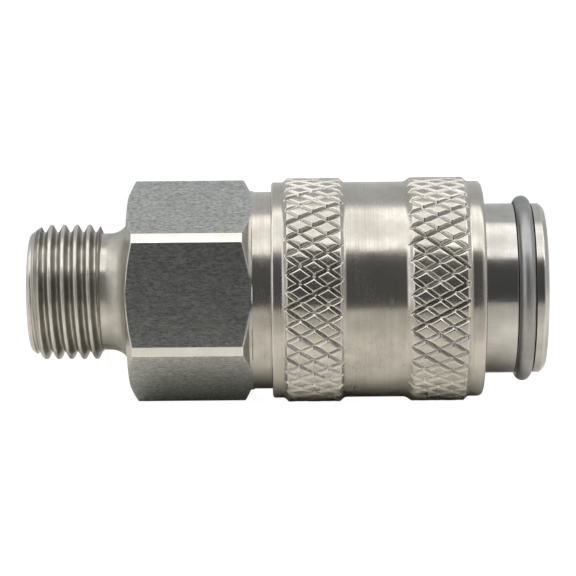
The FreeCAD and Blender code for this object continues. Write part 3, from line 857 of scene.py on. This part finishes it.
def spring(name, node, radius, wire_radius, start, end, coils):
    """A compression spring with closed, ground ends."""
    per_turn = 56            # sections of the wire
    closed = 0.75            # turns at each end that lie close together
    opening = 0.3            # turns over which the coils open up after that
    slowest = 0.16           # pitch of the closed turns, and the open ones have 1 more
    seat = 0.62              # from the ground end to the wire's middle, in wire radii
    turns = coils + 2 * closed
    total = int(turns * per_turn)
    path, way, size = [], [], []
    travel = [0.0]
    for s in range(total):
        done = s / per_turn
        from_end = min(done, turns - done)
        share = min(1.0, max(0.0, (from_end - closed) / opening))
        travel.append(travel[-1] + slowest + share)
    scale = (end - start - 2 * wire_radius * seat) / travel[-1]
    for s in range(total + 1):
        a = -TAU * s / per_turn
        x = start + wire_radius * seat + travel[s] * scale
        path.append(((x - HALF_LENGTH) * MM, -radius * MM * math.cos(a),
                     radius * MM * math.sin(a)))
        way.append((0.05, -radius * math.sin(a), -radius * math.cos(a)))
        size.append(wire_radius * MM)
    obj = tube(name, path, way, size, sides=16)
    low, high = (start - HALF_LENGTH) * MM, (end - HALF_LENGTH) * MM
    for vertex in obj.data.vertices:
        vertex.co.x = min(max(vertex.co.x, low), high)
    obj.data.materials.append(wire)
    smooth(obj, 50.0)
    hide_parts(node)
    return obj


# the sleeve spring grows longer as the washer follows the sleeve forward
SLEEVE_SPRING = (20.21, 24.77)
sleeve_coils = spring("sleeve_spring_coils", "sleeve_spring", 6.57, 0.275, *SLEEVE_SPRING,
                      coils=3)
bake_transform(sleeve_coils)

# the valve spring is pressed together as the valve goes back by its full travel
VALVE_SPRING = (8.51, 20.59)
valve_coils = spring("valve_spring_coils", "valve_spring", 3.5, 0.3, *VALVE_SPRING, coils=6)
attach(valve_coils, "coupler_body")
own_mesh(valve_coils)

# --------------------------------------------------------------------------- valve

NEAR_AXIS = 0.02             # the outline closes here, because no point may lie on the axis
valve_points = [
    (18.0, NEAR_AXIS, 0.0),
    (18.0, 2.4, 0.05),
    (18.4, 2.8, 0.05),
    (20.6, 2.8, 0.0),
    (20.6, 4.55, 0.05),
    (21.38, 4.55, 0.05),
    (21.38, 3.38, 0.0),
    (22.62, 3.38, 0.0),
    (22.62, 4.0, 0.04),
    (29.0, 4.0, 0.08),
    (29.4, 3.62, 0.08),
    (29.4, 3.1, 0.08),
    (23.4, 3.1, 0.12),
    (23.4, NEAR_AXIS, 0.0),
]
valve = lathe("valve_turned", soften(valve_points, len(round_angles)), round_angles)
drill(valve, 24.6, [(1.5, 1.0), (5.0, 1.0)], 4)
valve.data.materials.append(valve_steel)
smooth(valve)
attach(valve, "valve")
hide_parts("valve_piston")

# ---------------------------------------------------- CAD nodes that keep their shape

kept = {"sleeve_washer": turned, "valve_seal": rubber, "plug_seal": rubber, "body_gasket": rubber}
for k in range(1, 7):
    kept["locking_ball_%d" % k] = balls
for node, material in kept.items():
    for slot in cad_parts[node].material_slots:
        slot.material = material

# ------------------------------------------------------------------- floor and light


WHITE = (1.0, 1.0, 1.0)
WARM = (1.0, 0.975, 0.93)
WARM_CARD = (1.0, 0.99, 0.96)
COOL_CEILING = (0.98, 1.0, 0.99)
COOL_DARK = (0.97, 1.0, 0.99)
PAPER = (0.85, 0.835, 0.790)
# painted shade: the darker colour of the paper's front part
PAPER_SHADED_FRONT = (0.54, 0.527, 0.495)
FLOOR_Z = CAD_BOX[0][2]


def card(name, corners, colour, strength, camera=False):
    """A flat studio card that the metal mirrors and that lights nothing else.

    strength is what it gives off, and colour its tint.
    """
    mesh = bpy.data.meshes.new(name)
    mesh.from_pydata(corners, [], [(0, 1, 2, 3)])
    obj = bpy.data.objects.new(name, mesh)
    bpy.context.scene.collection.objects.link(obj)
    material = bpy.data.materials.new(name)
    material.use_nodes = True
    tree = material.node_tree
    tree.nodes.remove(tree.nodes["Principled BSDF"])
    glow = tree.nodes.new("ShaderNodeEmission")
    glow.inputs["Color"].default_value = colour + (1.0,)
    glow.inputs["Strength"].default_value = strength
    tree.links.new(glow.outputs["Emission"], tree.nodes["Material Output"].inputs["Surface"])
    mesh.materials.append(material)
    obj.visible_camera = camera
    obj.visible_diffuse = False
    obj.visible_shadow = False
    return obj


def around_axis(degrees, distance):
    """(y, z) of a point round the object: 0 is towards the camera, 90 straight up."""
    a = math.radians(degrees)
    return -distance * math.cos(a), distance * math.sin(a)


def strip(name, start, end, distance, half_width, colour, strength, camera=False):
    """A card parallel to the axis that covers start to end degrees round it."""
    y0, z0 = around_axis(start, distance)
    y1, z1 = around_axis(end, distance)
    corners = [(-half_width, y0, z0), (half_width, y0, z0),
               (half_width, y1, z1), (-half_width, y1, z1)]
    return card(name, corners, colour, strength, camera)


def ground(name, corners, colour, glow):
    """A level piece of floor between two corners; glow is the light it adds by itself."""
    (x0, y0), (x1, y1), z = corners
    mesh = bpy.data.meshes.new(name)
    mesh.from_pydata([(x0, y0, z), (x1, y0, z), (x1, y1, z), (x0, y1, z)], [], [(0, 1, 2, 3)])
    obj = bpy.data.objects.new(name, mesh)
    bpy.context.scene.collection.objects.link(obj)
    material = bpy.data.materials.new(name)
    material.use_nodes = True
    shader = material.node_tree.nodes["Principled BSDF"]
    shader.inputs["Base Color"].default_value = colour + (1.0,)
    shader.inputs["Roughness"].default_value = 0.9
    shader.inputs["Specular IOR Level"].default_value = 0.0
    shader.inputs["Emission Color"].default_value = WHITE + (1.0,)
    shader.inputs["Emission Strength"].default_value = glow
    mesh.materials.append(material)
    return obj


def softbox(name, start, end, radiance, colour=WARM):
    """An area light parallel to the axis that covers start to end degrees round it."""
    y0, z0 = around_axis(start, 0.26)
    y1, z1 = around_axis(end, 0.26)
    data = bpy.data.lights.new(name, "AREA")
    data.shape = "RECTANGLE"
    data.size = 0.7
    data.size_y = math.hypot(y1 - y0, z1 - z0)
    data.energy = radiance * math.pi * data.size * data.size_y
    data.color = colour
    obj = bpy.data.objects.new(name, data)
    bpy.context.scene.collection.objects.link(obj)
    middle = Vector((0, (y0 + y1) / 2, (z0 + z1) / 2))
    obj.location = middle
    obj.rotation_euler = (-middle).to_track_quat("-Z", "Y").to_euler()
    return obj


# the floor and the wall that the camera sees are plain white and light nothing
floor = ground("floor", ((-3.0, -3.0), (3.0, 3.0), FLOOR_Z), (0.10, 0.10, 0.10), 0.985)
floor.visible_glossy = False
floor.visible_diffuse = False
floor.visible_shadow = False
wall = strip("wall", -25, 60, -3.2, 3.0, WHITE, 1.2, camera=True)
wall.visible_glossy = False

# the sheet of paper that the object mirrors lies just under it, reaches a little way in
# front of it and is darker there, with painted shade on its front part
paper = ground("paper", ((-0.25, -0.028), (0.25, 0.06), FLOOR_Z - 0.00002), PAPER, 0.0)
paper.visible_camera = False
paper.visible_shadow = False
tree = paper.data.materials[0].node_tree
place = tree.nodes.new("ShaderNodeTexCoord").outputs["Object"]
split = tree.nodes.new("ShaderNodeSeparateXYZ")
tree.links.new(place, split.inputs["Vector"])
# painted shade that darkens the paper towards its front
falloff = tree.nodes.new("ShaderNodeMapRange")
falloff.interpolation_type = "SMOOTHSTEP"
tree.links.new(split.outputs["Y"], falloff.inputs["Value"])
falloff.inputs["From Min"].default_value = -0.016
falloff.inputs["From Max"].default_value = -0.006
fade = tree.nodes.new("ShaderNodeMix")
fade.data_type = "RGBA"
tree.links.new(falloff.outputs["Result"], fade.inputs["Factor"])
fade.inputs["A"].default_value = PAPER_SHADED_FRONT + (1.0,)
fade.inputs["B"].default_value = PAPER + (1.0,)
tree.links.new(fade.outputs["Result"], tree.nodes["Principled BSDF"].inputs["Base Color"])

# the light from above, brightest along its two edges
softbox("softbox_low", 43.5, 58, 1.98)
softbox("softbox_middle", 58, 80, 1.48, (1.0, 0.980, 0.94))
softbox("softbox_high", 80, 99, 1.88)
# it lights the paper, and the object doesn't mirror it
paper_light = softbox("paper_light", 30, 62, 3.0)
paper_light.visible_glossy = False

# what the object mirrors: the dark room behind the camera, with a pale card on either
# side of it, the ceiling, and a wall at each end
strip("dark_front", -45, 41, 0.30, 0.11, COOL_DARK, 0.09)
for side, strength in ((-1, 1.3), (1, 0.50)):
    y0, z0 = around_axis(-45, 0.30)
    y1, z1 = around_axis(40, 0.30)
    near, far = side * 0.111, side * 0.6
    card("front_card", [(near, y0, z0), (far, y0, z0), (far, y1, z1), (near, y1, z1)],
         WARM_CARD, strength)
strip("ceiling", 100, 172, 0.34, 0.6, COOL_CEILING, 0.68)
for side in (-1, 1):
    x, reach, low, high = side * 0.5, 0.45, -0.05, 0.45
    corners = [(x, -reach, low), (x, reach, low), (x, reach, high), (x, -reach, high)]
    card("side_card", corners, WARM_CARD, 0.75)

world = bpy.data.worlds.new("studio")
bpy.context.scene.world = world
world.use_nodes = True
background = world.node_tree.nodes["Background"]
background.inputs["Color"].default_value = WHITE + (1.0,)
background.inputs["Strength"].default_value = 0.12

bpy.context.scene.view_settings.view_transform = "Standard"
bpy.context.scene.view_settings.look = "None"

# -------------------------------------------------------------------------- camera

CAMERA_DISTANCE = 0.1843     # from the object's axis
CAMERA_RAISED = math.radians(2.5)
CAMERA_ROLL = math.radians(-0.54)

camera_data = bpy.data.cameras.new("camera")
camera_data.sensor_width = 36.0
camera_data.lens = 160.8
camera_data.clip_start = 0.01
camera = bpy.data.objects.new("camera", camera_data)
bpy.context.scene.collection.objects.link(camera)
camera.location = (0.00142, -CAMERA_DISTANCE * math.cos(CAMERA_RAISED),
                   CAMERA_DISTANCE * math.sin(CAMERA_RAISED))
aim = Vector((0.00007, 0.0, 0.00014))
look = (aim - camera.location).to_track_quat("-Z", "Y").to_matrix()
camera.rotation_euler = (look @ Matrix.Rotation(CAMERA_ROLL, 3, "Z")).to_euler()
bpy.context.scene.camera = camera
